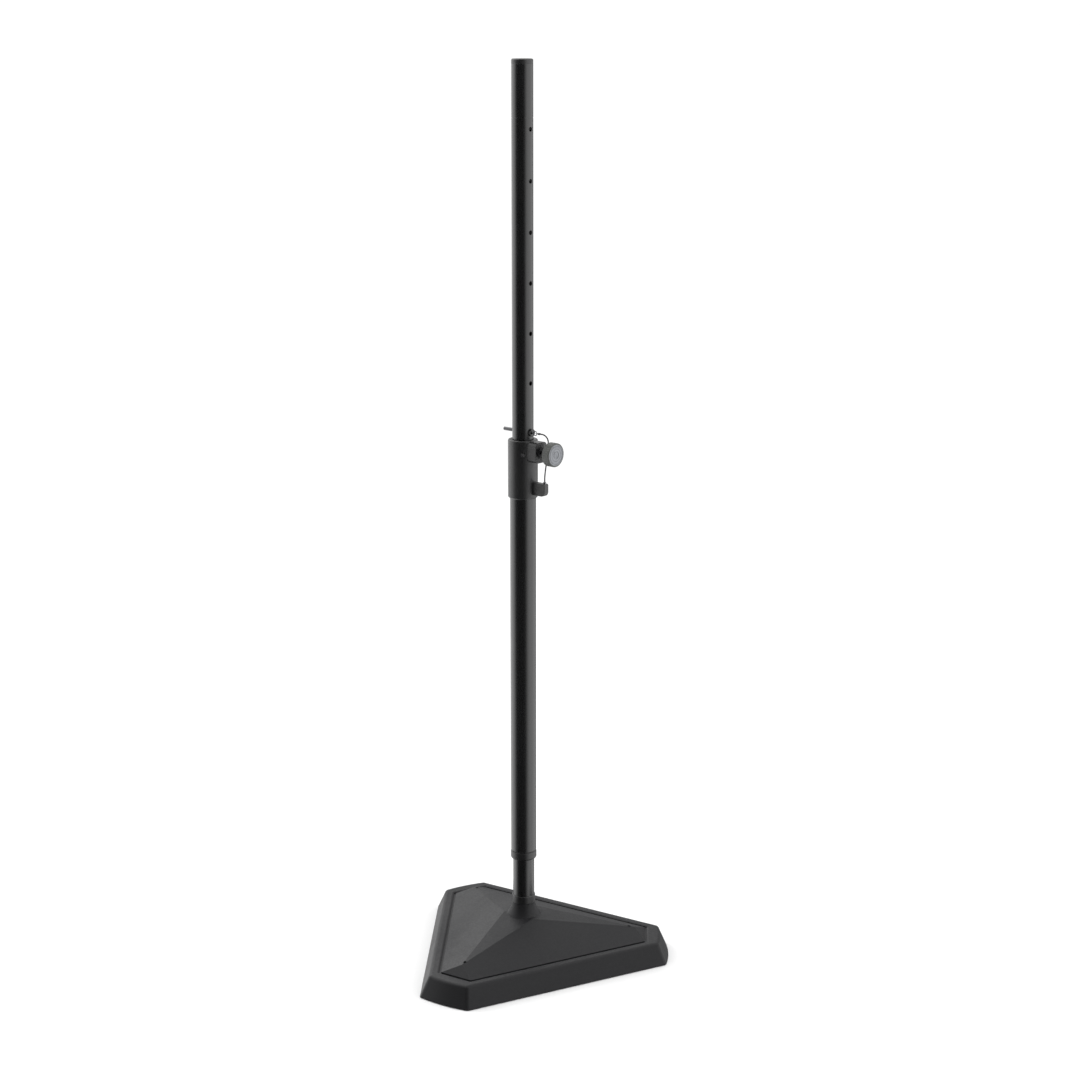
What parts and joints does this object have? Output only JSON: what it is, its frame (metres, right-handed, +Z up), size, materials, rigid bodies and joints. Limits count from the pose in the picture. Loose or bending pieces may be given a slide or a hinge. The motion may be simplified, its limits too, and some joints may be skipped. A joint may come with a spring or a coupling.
{
  "type": "speaker stand",
  "caption": "Telescoping speaker stand: a weighted three-cornered base, a fixed lower tube, and a mast held by a clamp knob and a locking pin on a lanyard.",
  "frame": {"origin": "on the floor, on the pole's axis, in the middle of the base's underside", "axes": "+Z up along the pole, -Y towards one of the base's long sides, +Y towards the corner opposite it"},
  "size_m": [0.4722, 0.4148, 1.516],
  "materials": {
    "moulded_black": "fine moulded grain",
    "powder_black": "semi-gloss powder coat",
    "cast_weight": "rough cast",
    "zinc_sheet": "zinc plated",
    "mat_rubber": "ribbed matte",
    "black_screws": "black oxide",
    "steel": "turned",
    "nylon": "natural nylon",
    "knob_grey": "satin",
    "knob_disc": "brushed",
    "cable_jacket": "smooth jacket"
  },
  "bodies": {
    "stand": {"base_shell": "moulded_black", "base_weight": "cast_weight", "bottom_plate": "zinc_sheet", "rubber_mat": "mat_rubber", "plate_screws": "steel", "cover_screws": "black_screws", "post_flange": "powder_black", "flange_bolts": "steel", "base_post": "powder_black", "foot_ring": "moulded_black", "reducer_bush": "moulded_black", "lower_tube": "powder_black", "collar_bush": "nylon", "clamp_collar": "moulded_black", "collar_screw": "steel", "thread_insert": "black_screws", "lanyard_anchor": "steel", "lanyard_lower": "cable_jacket"},
    "mast": {"mast_tube": "powder_black", "mast_cap": "moulded_black", "mast_glide": "nylon", "lanyard_upper": "cable_jacket"},
    "locking_pin": {"pin_shaft": "steel", "pin_head": "moulded_black", "pin_ring": "steel", "lanyard_ferrule": "knob_disc"},
    "clamp_pad": {"thrust_pad": "nylon"},
    "clamp_knob": {"clamp_stud": "steel", "knob_body": "knob_grey", "knob_face": "knob_disc"}
  },
  "joints": [
    {"name": "mast_slide", "type": "slide", "parent": "stand", "child": "mast", "axis": [0, 0, 1], "range_m": [-0.006, 0.08127], "deforming": ["lanyard_lower"]},
    {"name": "pin_pull", "type": "slide", "parent": "mast", "child": "locking_pin", "axis": [0.3584, -0.9336, 0], "range_m": [0, 0.066], "deforming": ["lanyard_upper"]},
    {"name": "clamp_travel", "type": "slide", "parent": "stand", "child": "clamp_pad", "axis": [0.3584, -0.9336, 0], "range_m": [0, 0.0019]},
    {"name": "knob_turn", "type": "hinge", "parent": "clamp_pad", "child": "clamp_knob", "pos_m": [0, 0, 0.889], "axis": [0.3584, -0.9336, 0], "range_deg": [0, 540]}
  ],
  "couplings": [
    {"joint": "clamp_travel", "follows": "knob_turn", "m_per_rad": 0.00019894}
  ]
}
